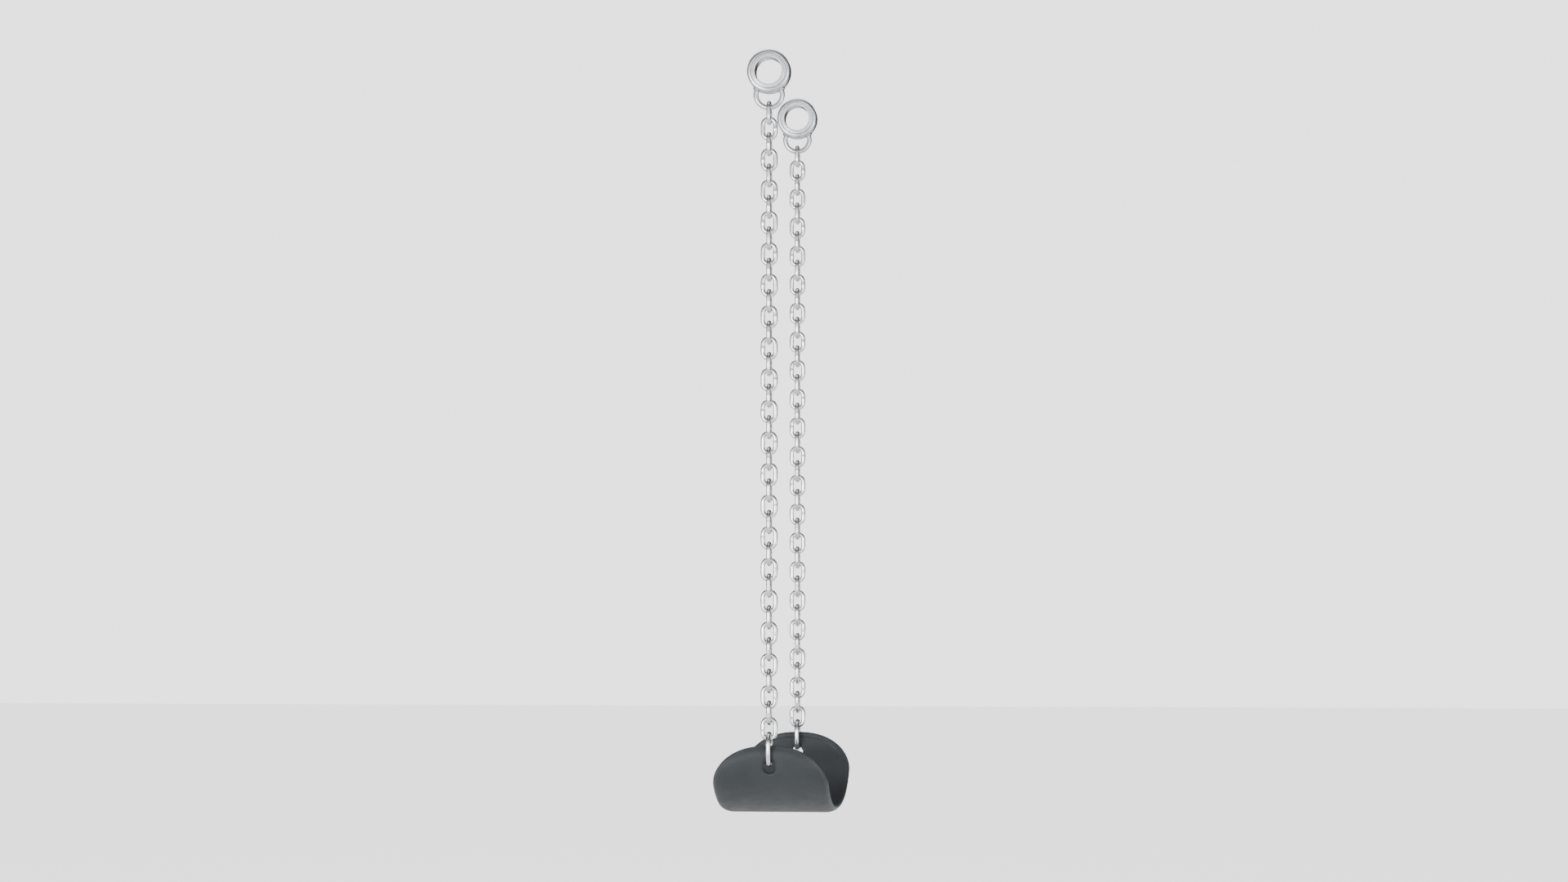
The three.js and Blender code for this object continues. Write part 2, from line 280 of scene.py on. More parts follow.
# %% The metal finishes
def metal_finish(name, bright, dull, rough_low, rough_high, cloud_scale, grain_height):
    """A plated or turned metal: two tones, a range of roughness, and a fine relief."""
    material = bpy.data.materials.new(name)
    material.use_nodes = True
    tree = material.node_tree
    shader = tree.nodes["Principled BSDF"]
    shader.inputs["Metallic"].default_value = 1.0
    where = tree.nodes.new("ShaderNodeTexCoord").outputs["Object"]
    surface = tree.nodes.new("ShaderNodeGroup")
    surface.node_tree = plated_surface
    surface.inputs["Cloud Scale"].default_value = cloud_scale
    tree.links.new(where, surface.inputs["Coordinates"])
    patches = ranged(tree, surface.outputs["Clouds"], 0.32, 0.68, 0.0, 1.0)
    colour = blended(tree, patches, dull, bright)
    scuffed = maths(tree, "MULTIPLY", surface.outputs["Scratches"], 0.35)
    tree.links.new(blended(tree, scuffed, colour, dull), shader.inputs["Base Color"])
    rough = ranged(tree, surface.outputs["Clouds"], 0.3, 0.7, rough_high, rough_low)
    rougher = maths(tree, "ADD", rough, maths(tree, "MULTIPLY", surface.outputs["Scratches"], 0.12))
    tree.links.new(rougher, shader.inputs["Roughness"])
    bump = tree.nodes.new("ShaderNodeBump")
    bump.inputs["Strength"].default_value = 0.5
    bump.inputs["Distance"].default_value = grain_height
    relief = maths(tree, "SUBTRACT", surface.outputs["Grain"], surface.outputs["Scratches"])
    tree.links.new(relief, bump.inputs["Height"])
    tree.links.new(bump.outputs["Normal"], shader.inputs["Normal"])
    return material


chain_zinc = metal_finish(
    "chain_zinc", (0.88, 0.89, 0.9, 1), (0.66, 0.67, 0.69, 1), 0.1, 0.24, 90.0, 0.00003)
hanger_zinc = metal_finish(
    "hanger_zinc", (0.78, 0.79, 0.81, 1), (0.5, 0.51, 0.54, 1), 0.16, 0.32, 70.0, 0.00004)
weld_steel = metal_finish(
    "weld_steel", (0.6, 0.6, 0.61, 1), (0.34, 0.33, 0.33, 1), 0.34, 0.55, 260.0, 0.00012)
insert_steel = metal_finish(
    "insert_steel", (0.62, 0.63, 0.64, 1), (0.4, 0.41, 0.42, 1), 0.35, 0.6, 120.0, 0.00005)
print("metal finishes made")

# %% [markdown]
# The bush is turned on a lathe, so its face has fine rings round the beam's axis. The rings come
# from the distance to that axis, which is the same for both hangers.

# %% The turned bush finish
def turned_finish(name):
    """Bright turned steel with tool rings about the X axis."""
    material = metal_finish(
        name, (0.86, 0.87, 0.88, 1), (0.66, 0.67, 0.69, 1), 0.16, 0.3, 50.0, 0.00002)
    tree = material.node_tree
    shader = tree.nodes["Principled BSDF"]
    where = tree.nodes.new("ShaderNodeTexCoord").outputs["Object"]
    parts = tree.nodes.new("ShaderNodeSeparateXYZ")
    tree.links.new(where, parts.inputs[0])
    across = maths(tree, "POWER", parts.outputs["Y"], 2.0)
    upward = maths(tree, "POWER", parts.outputs["Z"], 2.0)
    radius = maths(tree, "SQRT", maths(tree, "ADD", across, upward))
    rings = maths(tree, "SINE", maths(tree, "MULTIPLY", radius, 9000.0))
    bump = tree.nodes.new("ShaderNodeBump")
    bump.inputs["Strength"].default_value = 0.35
    bump.inputs["Distance"].default_value = 0.00002
    tree.links.new(rings, bump.inputs["Height"])
    tree.links.new(bump.outputs["Normal"], shader.inputs["Normal"])
    return material


bush_steel = turned_finish("bush_steel")

# %% [markdown]
# ## The rubber
# Moulded rubber is a cool dark grey with a satin skin. Its grain is the fine texture of the
# mould, and its colour drifts a little over a hand's width. Its edges carry a painted highlight:
# a paler band painted along the rounded rim, which is also a little smoother. The edge mask is
# an attribute that the belt's mesh carries.

# %% The rubber finish
def rubber_finish():
    """Satin dark rubber with a moulded grain and a painted highlight along its edges."""
    material = bpy.data.materials.new("moulded_rubber")
    material.use_nodes = True
    tree = material.node_tree
    shader = tree.nodes["Principled BSDF"]
    where = tree.nodes.new("ShaderNodeTexCoord").outputs["Object"]
    edge = tree.nodes.new("ShaderNodeAttribute")
    edge.attribute_name = "painted_edge_highlight"
    drift = ranged(tree, noise_at(tree, where, 9.0, 4.0, 0.6), 0.35, 0.65, 0.0, 1.0)
    base = blended(tree, drift, (0.023, 0.027, 0.0305, 1), (0.029, 0.034, 0.0375, 1))
    bloom = ranged(tree, noise_at(tree, where, 55.0, 6.0, 0.7), 0.5, 0.8, 0.0, 0.22)
    dusty = blended(tree, bloom, base, (0.041, 0.046, 0.0495, 1))
    patchy = ranged(tree, noise_at(tree, where, 120.0, 3.0, 0.6), 0.3, 0.7, 0.35, 1.0)
    # The paler edge colour is a painted highlight on the rounded rim, broken up in patches.
    edge_highlight_mask = maths(tree, "MULTIPLY", edge.outputs["Fac"], patchy)
    colour = blended(tree, maths(tree, "MULTIPLY", edge_highlight_mask, 0.55), dusty, (0.07, 0.077, 0.082, 1))
    tree.links.new(colour, shader.inputs["Base Color"])
    satin = ranged(tree, noise_at(tree, where, 38.0, 5.0, 0.65), 0.3, 0.7, 0.5, 0.6)
    polish = maths(tree, "MULTIPLY", edge_highlight_mask, 0.1)
    tree.links.new(maths(tree, "SUBTRACT", satin, polish), shader.inputs["Roughness"])
    shader.inputs["Specular IOR Level"].default_value = 0.32
    pebbles = tree.nodes.new("ShaderNodeTexVoronoi")
    pebbles.inputs["Scale"].default_value = 900.0
    tree.links.new(where, pebbles.inputs["Vector"])
    fine = noise_at(tree, where, 1700.0, 3.0, 0.6)
    waves = maths(tree, "MULTIPLY", noise_at(tree, where, 26.0, 2.0, 0.5), 1.2)
    grain = maths(tree, "ADD", maths(tree, "MULTIPLY", pebbles.outputs["Distance"], 0.7), fine)
    bump = tree.nodes.new("ShaderNodeBump")
    bump.inputs["Strength"].default_value = 0.55
    bump.inputs["Distance"].default_value = 0.00022
    tree.links.new(maths(tree, "ADD", grain, waves), bump.inputs["Height"])
    tree.links.new(bump.outputs["Normal"], shader.inputs["Normal"])
    return material


moulded_rubber = rubber_finish()

# %% [markdown]
# The webbing band is sealed in the rubber. It is woven, so its finish is a fine basket of
# crossing threads made from two waves.

# %% The webbing finish
def webbing_finish():
    """Pale threads that cross in a fine basket."""
    material = bpy.data.materials.new("woven_webbing")
    material.use_nodes = True
    tree = material.node_tree
    shader = tree.nodes["Principled BSDF"]
    where = tree.nodes.new("ShaderNodeTexCoord").outputs["Object"]
    threads = []
    for direction in ("X", "Y"):
        wave = tree.nodes.new("ShaderNodeTexWave")
        wave.bands_direction = direction
        wave.inputs["Scale"].default_value = 180.0
        wave.inputs["Distortion"].default_value = 0.4
        tree.links.new(where, wave.inputs["Vector"])
        threads.append(wave.outputs["Fac"])
    weave = maths(tree, "MULTIPLY", *threads)
    colour = blended(tree, weave, (0.2, 0.185, 0.155, 1), (0.36, 0.335, 0.285, 1))
    tree.links.new(colour, shader.inputs["Base Color"])
    shader.inputs["Roughness"].default_value = 0.9
    bump = tree.nodes.new("ShaderNodeBump")
    bump.inputs["Distance"].default_value = 0.0003
    tree.links.new(weave, bump.inputs["Height"])
    tree.links.new(bump.outputs["Normal"], shader.inputs["Normal"])
    return material


woven_webbing = webbing_finish()


# %% [markdown]
# ## Chain links
# A link is a round bar bent into a flat ring and welded shut on one leg. A circle swept round
# half a turn makes one crown, drawing it down makes a leg, and a second half turn and a second
# leg close the ring. The last leg swells a little where the weld is.

# %% One link
BAR_SIDES = 14
CROWN_STEPS = 12
WELD_SWELL = 1.09
# Steps up the welded leg: how far, in halves of the leg, and how much the bar swells there.
WELD_STEPS = ((0.62, 1.0), (0.24, WELD_SWELL), (0.28, 1.0), (0.24, 1 / WELD_SWELL), (0.62, 1.0))


def bent_link(mesh_tool, inner_length, bar, crown, level, quarter_turns=0):
    """Adds one closed link to a bmesh, at a level and turned about the chain."""
    lift = inner_length / 2 + bar - crown
    ring = bmesh.new()
    bmesh.ops.create_circle(
        ring, cap_ends=False, radius=bar, segments=BAR_SIDES,
        matrix=Matrix.Translation((crown, 0, lift)),
    )
    loop = list(ring.edges)
    loop = spin_loop(ring, loop, (0, 0, lift), (0, -1, 0), 180, CROWN_STEPS)
    loop = push_loop(ring, loop, (0, 0, -lift))
    loop = push_loop(ring, loop, (0, 0, -lift))
    loop = spin_loop(ring, loop, (0, 0, -lift), (0, -1, 0), 180, CROWN_STEPS)
    for share, swell in WELD_STEPS:
        loop = push_loop(ring, loop, (0, 0, lift * share), swell)
    bmesh.ops.remove_doubles(ring, verts=ring.verts, dist=1e-5)
    turn = Matrix.Rotation(quarter_turns * math.pi / 2, 4, "Z")
    bmesh.ops.transform(ring, matrix=Matrix.Translation((0, 0, level)) @ turn, verts=ring.verts)
    bmesh.ops.recalc_face_normals(ring, faces=ring.faces)
    scratch = bpy.data.meshes.new("scratch_link")
    ring.to_mesh(scratch)
    ring.free()
    mesh_tool.from_mesh(scratch)
    bpy.data.meshes.remove(scratch)


# %% [markdown]
# The links stand in turn along the beam and across it, and each is a quarter turn on from the
# last, so the welds don't line up. The first hangs in the bail, along the beam. Two neighbours
# share one piece here because they share one CAD node, but each is a whole ring of its own that
# touches the next only where the bars cross.

# %% The chains
def chain_piece(side, numbers, node):
    """The ordinary links with these numbers, as one piece for one node."""
    mesh_tool = bmesh.new()
    for number in numbers:
        level = chain_top - LINK_PITCH * (number - 0.5)
        quarter_turns = (1 - number) % 4
        bent_link(mesh_tool, LINK_PITCH, LINK_BAR, LINK_CROWN, level, quarter_turns)
    bmesh.ops.translate(mesh_tool, verts=mesh_tool.verts, vec=(hanger_x[side], 0, 0))
    new_piece(f"{node}_welded", mesh_tool, chain_zinc, node, 180)


for side in hanger_x:
    chain_piece(side, [1], f"{side}_link_01")
    for upper in range(2, link_count, 2):
        chain_piece(side, [upper, upper + 1], f"{side}_links_{upper:02d}_{upper + 1:02d}")
    chain_piece(side, [link_count], f"{side}_link_{link_count}")
    end_ring = bmesh.new()
    bent_link(end_ring, END_PITCH, END_BAR, END_CROWN, chain_bottom - END_PITCH / 2)
    bmesh.ops.translate(end_ring, verts=end_ring.verts, vec=(hanger_x[side], 0, 0))
    new_piece(f"{side}_end_link_welded", end_ring, chain_zinc, f"{side}_end_link", 180)
print("links made", 2 * (link_count + 1))

# %% [markdown]
# ## Hangers
# A collar turns on two flanged bushes round the beam. All three are lathe work: a profile of a
# few corners is turned about the beam's axis, and a Bevel modifier rounds the corners that the
# lathe tool leaves.

# %% Collars and bushes
TURN_STEPS = 72
BEVEL_SEGMENTS = 2
BEVEL_ANGLE = 25
COLLAR_BEVEL = 0.35 * MM
BUSH_BEVEL = 0.25 * MM
FLANGE = 3.5 * MM
COLLAR_BORE = 24.9 * MM
COLLAR_RECESS = 28.2 * MM
RECESS_SLACK = 0.3 * MM
BUSH_BORE = 21.5 * MM
SLEEVE_RADIUS = 24.5 * MM
FLANGE_RADIUS = 27.8 * MM
SLEEVE_SLACK = 0.15 * MM


def soften(piece, width):
    """Rounds the sharp edges of a piece."""
    bevel = piece.modifiers.new("rounded_edges", "BEVEL")
    bevel.width = width
    bevel.segments = BEVEL_SEGMENTS
    bevel.limit_method = "ANGLE"
    bevel.angle_limit = math.radians(BEVEL_ANGLE)
    bevel.harden_normals = True


def collar_profile(half, proud):
    """Corners of the collar's section, from the bore outwards: (along the beam, radius)."""
    seat = half + proud - FLANGE - RECESS_SLACK
    side = [
        (seat, COLLAR_BORE), (seat, COLLAR_RECESS), (half - 0.6 * MM, COLLAR_RECESS),
        (half, 28.8 * MM), (half, 30.2 * MM), (half - 0.5 * MM, 31.8 * MM),
        (half - 1.6 * MM, 33.3 * MM), (half - 3.1 * MM, 34.2 * MM), (half - 4.8 * MM, 34.5 * MM),
    ]
    return side + [(-along, radius) for along, radius in reversed(side)]


def bush_profile(half, proud):
    """Corners of one bush's section: sleeve, flange and a raised lip round the bore."""
    face = half + proud
    return [
        (SLEEVE_SLACK, BUSH_BORE), (SLEEVE_SLACK, SLEEVE_RADIUS), (face - FLANGE, SLEEVE_RADIUS),
        (face - FLANGE, FLANGE_RADIUS), (face - 1.0 * MM, FLANGE_RADIUS),
        (face - 0.7 * MM, 27.3 * MM), (face - 0.7 * MM, 25.2 * MM), (face, 24.6 * MM),
        (face, 22.4 * MM), (face - 0.9 * MM, BUSH_BORE),
    ]


collar_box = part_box("left_collar")
bush_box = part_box("left_bush_outside")
collar_half = (collar_box[1].x - collar_box[0].x) / 2
bush_face = abs(bush_box[0].x - hanger_x["left"])
half_turn = Matrix.Rotation(math.pi, 3, "Z")
for side, place in hanger_x.items():
    ring = turned(collar_profile(collar_half, bush_face - collar_half), TURN_STEPS)
    bmesh.ops.translate(ring, verts=ring.verts, vec=(place, 0, 0))
    collar = new_piece(f"{side}_collar_turned", ring, hanger_zinc, f"{side}_collar", 30)
    soften(collar, COLLAR_BEVEL)
    outward = 1 if place > 0 else -1
    for word, direction in (("outside", outward), ("inside", -outward)):
        bush = turned(bush_profile(collar_half, bush_face - collar_half), TURN_STEPS)
        if direction < 0:
            bmesh.ops.rotate(bush, verts=bush.verts, cent=(0, 0, 0), matrix=half_turn)
        bmesh.ops.translate(bush, verts=bush.verts, vec=(place, 0, 0))
        node = f"{side}_bush_{word}"
        soften(new_piece(f"{node}_turned", bush, bush_steel, node, 30), BUSH_BEVEL)
print("collar half width", round(collar_half, 4), "bush face", round(bush_face, 4))

# %% [markdown]
# The bail is one bar bent to more than half a circle. Its two ends run into the collar, and a
# bead of weld with a rippled surface goes round each.

# %% Bails and their welds
COLLAR_RADIUS = 34.5 * MM
BAIL_SIDES = 18
BAIL_STEPS = 30
BEAD_RADIUS = 2.0 * MM
BEAD_SIDES = 10
BEAD_STEPS = 36
BEAD_SPINE = BAIL_BAR + 0.4 * MM
BEAD_RIPPLES = 9
BEAD_RIPPLE = 0.13
loop_centre = bail_bottom + BAIL_RADIUS


def bail_ring():
    """The bent bar, in the plane across the beam, with capped ends inside the collar."""
    ring = bmesh.new()
    spare = (BAIL_ARC - 180) / 2
    bmesh.ops.create_circle(
        ring, cap_ends=False, radius=BAIL_BAR, segments=BAIL_SIDES,
        matrix=Matrix.Translation((0, BAIL_RADIUS, 0)),
    )
    bmesh.ops.rotate(
        ring, verts=ring.verts, cent=(0, 0, 0), matrix=Matrix.Rotation(math.radians(spare), 3, "X"))
    spin_loop(ring, list(ring.edges), (0, 0, 0), (-1, 0, 0), BAIL_ARC, BAIL_STEPS)
    bmesh.ops.holes_fill(ring, edges=[edge for edge in ring.edges if edge.is_boundary], sides=0)
    bmesh.ops.translate(ring, verts=ring.verts, vec=(0, 0, loop_centre))
    return ring


def add_bead(ring, hand):
    """A rippled bead round the bar where it meets the collar; hand is +1 or -1 in Y."""
    level = (COLLAR_RADIUS**2 + loop_centre**2 - BAIL_RADIUS**2) / (2 * loop_centre)
    aside = math.sqrt(COLLAR_RADIUS**2 - level**2)
    bead = bmesh.new()
    bmesh.ops.create_circle(
        bead, cap_ends=False, radius=BEAD_RADIUS, segments=BEAD_SIDES,
        matrix=Matrix.Translation((BEAD_SPINE, 0, 0)) @ Matrix.Rotation(math.pi / 2, 4, "X"),
    )
    bmesh.ops.spin(
        bead, geom=list(bead.verts) + list(bead.edges), cent=(0, 0, 0), axis=(0, 0, 1),
        dvec=(0, 0, 0), angle=math.tau, steps=BEAD_STEPS, use_merge=True,
    )
    bmesh.ops.remove_doubles(bead, verts=bead.verts, dist=1e-6)
    for vert in bead.verts:
        turn = math.atan2(vert.co.y, vert.co.x)
        spine = Vector((math.cos(turn), math.sin(turn), 0)) * BEAD_SPINE
        vert.co = spine + (vert.co - spine) * (1 + BEAD_RIPPLE * math.sin(BEAD_RIPPLES * turn))
    tangent = Vector((0, -(level - loop_centre), hand * aside)).normalized()
    turn = tangent.to_track_quat("Z", "X").to_matrix().to_4x4()
    place = Matrix.Translation((0, hand * aside, level)) @ turn
    bmesh.ops.transform(bead, matrix=place, verts=bead.verts)
    scratch = bpy.data.meshes.new("scratch_bead")
    bead.to_mesh(scratch)
    bead.free()
    ring.from_mesh(scratch)
    bpy.data.meshes.remove(scratch)


for side, place in hanger_x.items():
    bail = bail_ring()
    bar_faces = len(bail.faces)
    add_bead(bail, 1)
    add_bead(bail, -1)
    bmesh.ops.translate(bail, verts=bail.verts, vec=(place, 0, 0))
    piece = new_piece(f"{side}_bail_welded", bail, hanger_zinc, f"{side}_bail", 60)
    piece.data.materials.append(weld_steel)
    for face in piece.data.polygons[bar_faces:]:
        face.material_index = 1
print("bails made")

# %% [markdown]
# ## The belt
# The belt is moulded flat and hangs in a U. So it is shaped flat first, in three steps: a grid,
# with each end drawn into a dome, and with a round hole opened near each tip. Two such sheets,
# one for each face, are given their heights and joined round the edge and through the holes.
# Bending the whole along the U comes last, so every margin keeps its true width.

# %% The belt's sizes
SEAT_HEIGHT = 112 * MM
SEAT_POWER = 2.4
HALF_WIDTH = 92 * MM
DOME_HEIGHT = 78 * MM
DOME_POWER = 2.3
HALF_THICK = 6.5 * MM
HOLE_RADIUS = 9.6 * MM
HOLE_BELOW_TOP = 34.5 * MM
HOLE_OFFSET = 2.6 * MM
ROD_SLACK = 0.3 * MM

hole_level = rod_level + END_BAR + ROD_SLACK - HOLE_RADIUS
seat_top = hole_level + HOLE_BELOW_TOP
hole_share = (1 - (HOLE_BELOW_TOP / SEAT_HEIGHT) ** SEAT_POWER) ** (1 / SEAT_POWER)
half_span = (hanger_x["right"] - HOLE_OFFSET) / hole_share

LINE_STEPS = 4000
line_points = []
for step in range(LINE_STEPS + 1):
    angle = (step / LINE_STEPS - 0.5) * math.pi
    across = math.copysign(abs(math.sin(angle)) ** (2 / SEAT_POWER), angle)
    down = abs(math.cos(angle)) ** (2 / SEAT_POWER)
    line_points.append(Vector((half_span * across, 0, seat_top - SEAT_HEIGHT * down)))
line_lengths = [0.0]
for before, after in zip(line_points, line_points[1:]):
    line_lengths.append(line_lengths[-1] + (after - before).length)
belt_length = line_lengths[-1]
print("belt length", round(belt_length, 4), "half span", round(half_span, 4))


# %% [markdown]
# A place on the flat belt is a distance along it, a distance across it and a height above its
# middle. Bending looks up the point of the U at that distance and steps off along its normal.

# %% Bending along the U
TIP_GUARD = 0.6 * MM
HEADING_REACH = 1.5 * MM


def on_line(along):
    """The point of the U at a distance from the left tip."""
    index = min(max(bisect_left(line_lengths, along), 1), LINE_STEPS)
    low, high = line_lengths[index - 1], line_lengths[index]
    share = 0 if high == low else (along - low) / (high - low)
    return line_points[index - 1].lerp(line_points[index], min(max(share, 0), 1))


def bent(flat):
    """Moves a flat place (along, across, height) to its place on the hanging belt."""
    along = min(max(flat.x, TIP_GUARD), belt_length - TIP_GUARD)
    ahead = on_line(min(along + HEADING_REACH, belt_length))
    heading = ahead - on_line(max(along - HEADING_REACH, 0))
    heading.normalize()
    point = on_line(flat.x)
    return Vector((point.x - heading.z * flat.z, flat.y, point.z + heading.x * flat.z))


def along_at_level(level):
    """How far along the belt the left wing passes a level."""
    fraction = (seat_top - level) / SEAT_HEIGHT
    angle = math.acos(fraction ** (SEAT_POWER / 2))
    step = (0.5 - angle / math.pi) * LINE_STEPS
    return line_lengths[int(round(step))]


hole_along = along_at_level(hole_level)
hole_heading = (on_line(hole_along + MM) - on_line(hole_along - MM)).normalized()
hole_stretch = -1 / hole_heading.z
hole_lean = -hole_heading.x / hole_heading.z
print("hole is", round(hole_along, 4), "along the belt, which leans", round(hole_lean, 3), "there")

# %% [markdown]
# The grid's lines crowd towards the edge, where the margin curves, and are wider apart in the
# middle. The square end of the grid is drawn to a dome by the same rule that turns a square
# into a disc, so no face is pinched at the tip.

# %% The flat sheet
ACROSS_STEPS = 72
DOME_STEPS = 40
STRAIGHT_STEPS = 78
HOLE_HALF_STEPS = 3
# Radii of the rings of points round a hole, in millimetres, then the rings that fade to the grid.
HOLE_RINGS = [9.6, 9.75, 10.3, 11.4, 13.1, 15.2, 17.8]
RING_FADE = 6
EVEN_PART, CROWDED_PART = 0.42, 0.58
last_column = 2 * DOME_STEPS + STRAIGHT_STEPS
middle_row = ACROSS_STEPS // 2


def smooth(share):
    """An even start and an even stop between 0 and 1."""
    share = min(max(share, 0.0), 1.0)
    return share * share * (3 - 2 * share)


def crowded(share):
    """Spaces grid lines closer together towards 1."""
    rest = 1 - abs(share)
    return math.copysign(1 - (EVEN_PART * rest + CROWDED_PART * rest**2), share)


def domed(toward_tip, across):
    """Draws the unit square's upper half to the dome of the belt's end."""
    up = toward_tip * math.sqrt(1 - across**2 / 2)
    aside = across * math.sqrt(1 - toward_tip**2 / 2)
    radius = math.hypot(up, aside)
    if radius < 1e-9:
        return 0.0, 0.0
    cosine, sine = aside / radius, up / radius
    square = (abs(cosine) ** DOME_POWER + abs(sine) ** DOME_POWER) ** (-1 / DOME_POWER)
    stretch = 1 + (square - 1) * radius**2
    return DOME_HEIGHT * up * stretch, HALF_WIDTH * aside * stretch


def flat_place(column, row):
    """The flat place of one grid point, counted from the left tip and the near edge."""
    across = crowded(2 * row / ACROSS_STEPS - 1)
    if column < DOME_STEPS:
        up, aside = domed(crowded(1 - column / DOME_STEPS), across)
        return DOME_HEIGHT - up, aside
    if column > last_column - DOME_STEPS:
        up, aside = domed(crowded((column - last_column + DOME_STEPS) / DOME_STEPS), across)
        return belt_length - DOME_HEIGHT + up, aside
    straight = (column - DOME_STEPS) / STRAIGHT_STEPS
    return DOME_HEIGHT + straight * (belt_length - 2 * DOME_HEIGHT), across * HALF_WIDTH


hole_column = min(
    range(DOME_STEPS), key=lambda column: abs(flat_place(column, middle_row)[0] - hole_along))
hole_columns = {hole_column: hole_along, last_column - hole_column: belt_length - hole_along}
print("grid", last_column, "by", ACROSS_STEPS, "hole at column", hole_column)


def round_the_hole(column, row, place):
    """Draws square rings of grid points near a hole out to circles round it."""
    for centre_column, centre_along in hole_columns.items():
        ring = max(abs(column - centre_column), abs(row - middle_row))
        if ring < HOLE_HALF_STEPS or ring > HOLE_HALF_STEPS + len(HOLE_RINGS) - 1 + RING_FADE:
            continue
        order = ring - HOLE_HALF_STEPS
        aside, along = (row - middle_row) / ring, (column - centre_column) / ring
        if abs(aside) > abs(along):
            angle = math.copysign(1, aside) * (math.pi / 2 - along / abs(aside) * math.pi / 4)
        else:
            angle = aside / abs(along) * math.pi / 4
            angle = angle if along > 0 else math.pi - angle
        step = HOLE_RINGS[-1] - HOLE_RINGS[-2]
        radius = HOLE_RINGS[order] if order < len(HOLE_RINGS) else HOLE_RINGS[-1] + step * (
            order - len(HOLE_RINGS) + 1)
        circle = (
            centre_along + radius * MM * hole_stretch * math.cos(angle),
            radius * MM * math.sin(angle),
        )
        fade = smooth((order - len(HOLE_RINGS) + 2) / (RING_FADE + 1))
        return tuple(a + (b - a) * fade for a, b in zip(circle, place))
    return place


# %% [markdown]
# Height depends only on how far a place is from the edge and from the holes. The outer face has
# a wide margin that falls away to the rim. The inner face has a small round lip, then a raised
# band, then a panel that lies a little lower. Both faces sink into each hole in a soft funnel.

# %% Heights of the two faces
RIM_HEIGHT = 1.6 * MM
OUTER_MARGIN = 16 * MM
LIP = 4.5 * MM
PANEL_START = 8.0 * MM
PANEL_END = 10.5 * MM
PANEL_DROP = 0.9 * MM
BORE_HALF = 2.2 * MM
FUNNEL_END = 17.6 * MM
SLIDE_END = 24 * MM
OUTLINE_SLACK = 0.001 * MM
MARGIN_POWER = 1.75
LIP_POWER = 2.0
FUNNEL_POWER = 2.4


def edge_distance(along, across):
    """How far a flat place is from the belt's outline."""
    beyond = max(DOME_HEIGHT - along, DOME_HEIGHT - (belt_length - along), 0.0)
    if beyond <= 0:
        return HALF_WIDTH - abs(across)
    first, second = beyond / DOME_HEIGHT, abs(across) / HALF_WIDTH
    total = max(first**DOME_POWER + second**DOME_POWER, 1e-9)
    size = total ** (1 / DOME_POWER)
    scale = total ** (1 / DOME_POWER - 1)
    slope = math.hypot(
        scale * first ** (DOME_POWER - 1) / DOME_HEIGHT,
        scale * second ** (DOME_POWER - 1) / HALF_WIDTH,
    )
    return max((1 - size) / max(slope, 1e-6), 0.0)


def rounded(share, power):
    """Rises from 0 to 1 along a quarter of a rounded square."""
    share = min(max(share, 0.0), 1.0)
    return (1 - (1 - share) ** power) ** (1 / power)


def from_hole(along, across, centre):
    """How far a flat place is from a hole's axis, seen along that axis."""
    return math.hypot((along - centre) / hole_stretch, across)


def hole_slide(along, across, height):
    """Slides a place near a hole along the belt, so that the bore runs level."""
    slide = 0.0
    for hand, centre in ((1, hole_along), (-1, belt_length - hole_along)):
        near = (SLIDE_END - from_hole(along, across, centre)) / (SLIDE_END - HOLE_RADIUS)
        slide += hand * hole_lean * height * smooth(near)
    return slide


def face_height(along, across, outer):
    """Height of one face above the belt's middle; the outer face is below it."""
    inset = edge_distance(along, across)
    if inset < OUTLINE_SLACK:
        return RIM_HEIGHT
    if outer:
        fall = rounded(inset / OUTER_MARGIN, MARGIN_POWER)
        height = RIM_HEIGHT - (RIM_HEIGHT + HALF_THICK) * fall
    else:
        height = RIM_HEIGHT + (HALF_THICK - RIM_HEIGHT) * rounded(inset / LIP, LIP_POWER)
        height -= PANEL_DROP * smooth((inset - PANEL_START) / (PANEL_END - PANEL_START))
    for centre in hole_columns.values():
        away = from_hole(along, across, centre)
        if away < FUNNEL_END:
            share = min((FUNNEL_END - away) / (FUNNEL_END - HOLE_RADIUS), 1)
            level = -BORE_HALF if outer else BORE_HALF
            height += (level - height) * (1 - math.sqrt(max(1 - share**FUNNEL_POWER, 0.0)))
    return height


# %% [markdown]
# The sheet starts as one grid. Its points go to their flat places, the faces inside each hole
# are deleted, and a copy is turned over for the other face. The rims of the two sheets are the
# same points and merge, and the two sides of each hole are joined by bridging their loops.

# %% Build the belt
# Width of the painted highlight along the belt's edge.
EDGE_HIGHLIGHT_WIDTH = 7 * MM
CLEAR_OF_EDGE = 5 * MM
HOLE_REACH = 20 * MM


